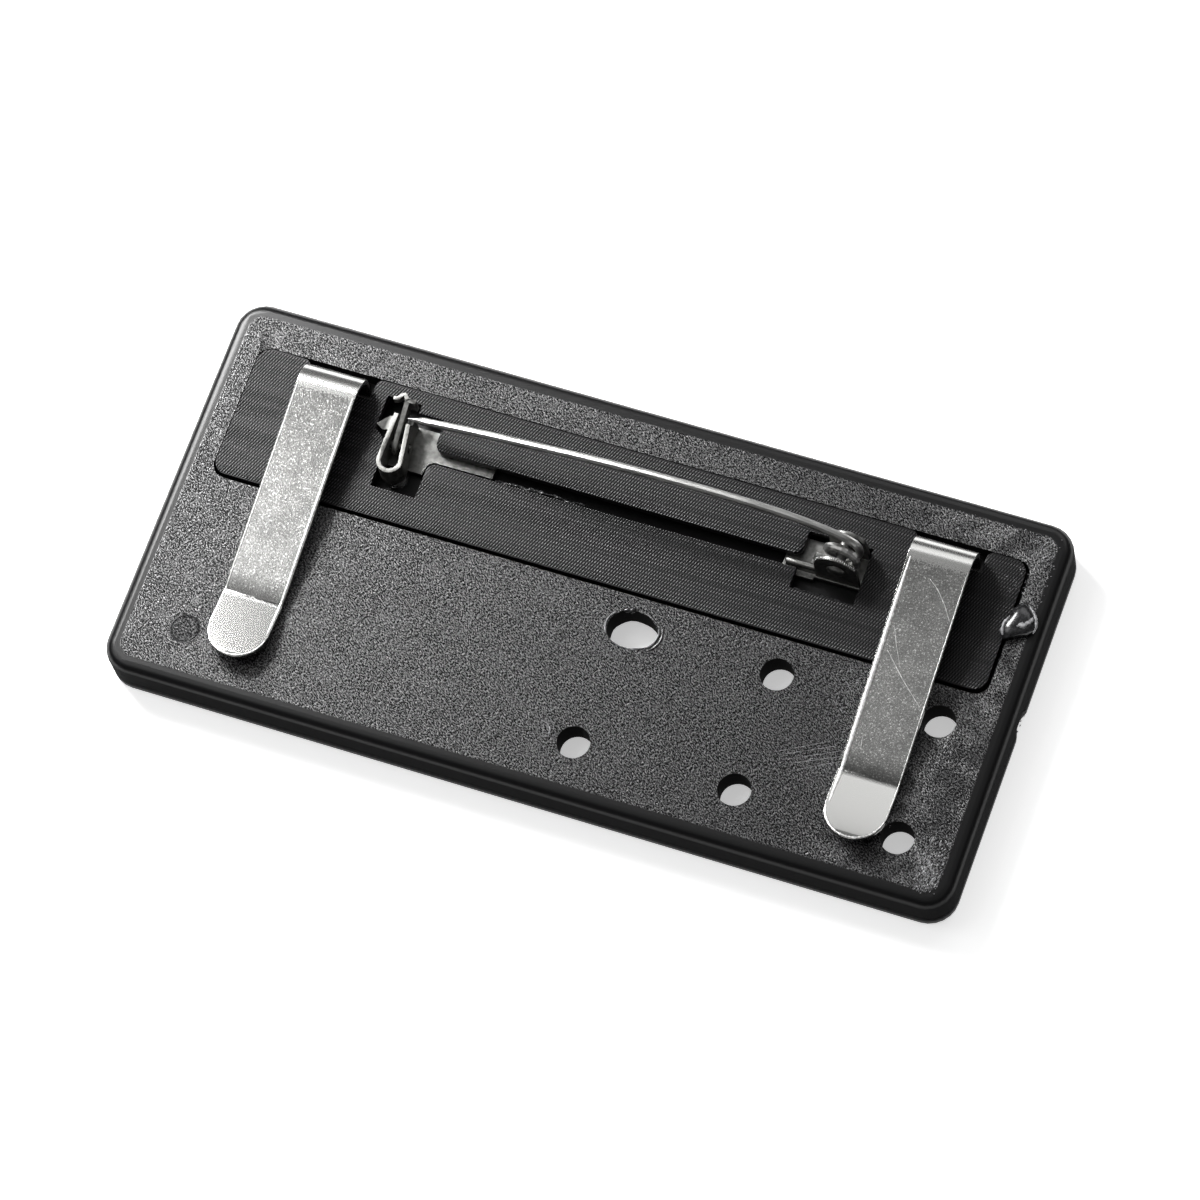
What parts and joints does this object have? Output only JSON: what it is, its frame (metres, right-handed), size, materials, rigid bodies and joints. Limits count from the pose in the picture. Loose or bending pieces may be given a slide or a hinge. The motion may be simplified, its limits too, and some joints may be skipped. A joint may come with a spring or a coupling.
{
  "type": "name badge",
  "caption": "Blank name badge lying on its face, with a moulded back, a locking bar pin on a riveted hinge and sprung steel clips",
  "frame": {"origin": "on the plane of the front frame's face that the badge lies on, under the middle of the badge", "axes": "+X along the badge's length towards the pin's hinge, +Y towards the edge beside the pin, +Z out of the badge's back"},
  "size_m": [0.075, 0.0352, 0.0103],
  "materials": {
    "black_plastic": "moulded ABS, fine leather grain on the back",
    "strip_plastic": "moulded ABS, fine woven line texture",
    "white_plastic": "smooth white acrylic sheet, blank",
    "spring_steel": "bright spring steel, fine scuffs",
    "plated_steel": "nickel-plated steel"
  },
  "bodies": {
    "badge": {"front_frame": "black_plastic", "name_plate": "white_plastic", "back_housing": "black_plastic", "inlaid_strip": "strip_plastic", "clip_left": "spring_steel", "clip_right": "spring_steel", "pin_base": "plated_steel", "hinge_rivet": "plated_steel", "catch_guard": "plated_steel", "lock_pivot": "plated_steel"},
    "needle": {"needle_pin": "plated_steel"},
    "lock": {"catch_lock": "plated_steel"}
  },
  "joints": [
    {"name": "needle_hinge", "type": "hinge", "parent": "badge", "child": "needle", "pos_m": [0.0196, 0.00916, 0.00625], "axis": [0, 1, 0], "range_deg": [0, 60]},
    {"name": "lock_turn", "type": "hinge", "parent": "badge", "child": "lock", "pos_m": [-0.01995, 0.0082, 0.0046], "axis": [1, 0, 0], "range_deg": [0, 90]}
  ]
}
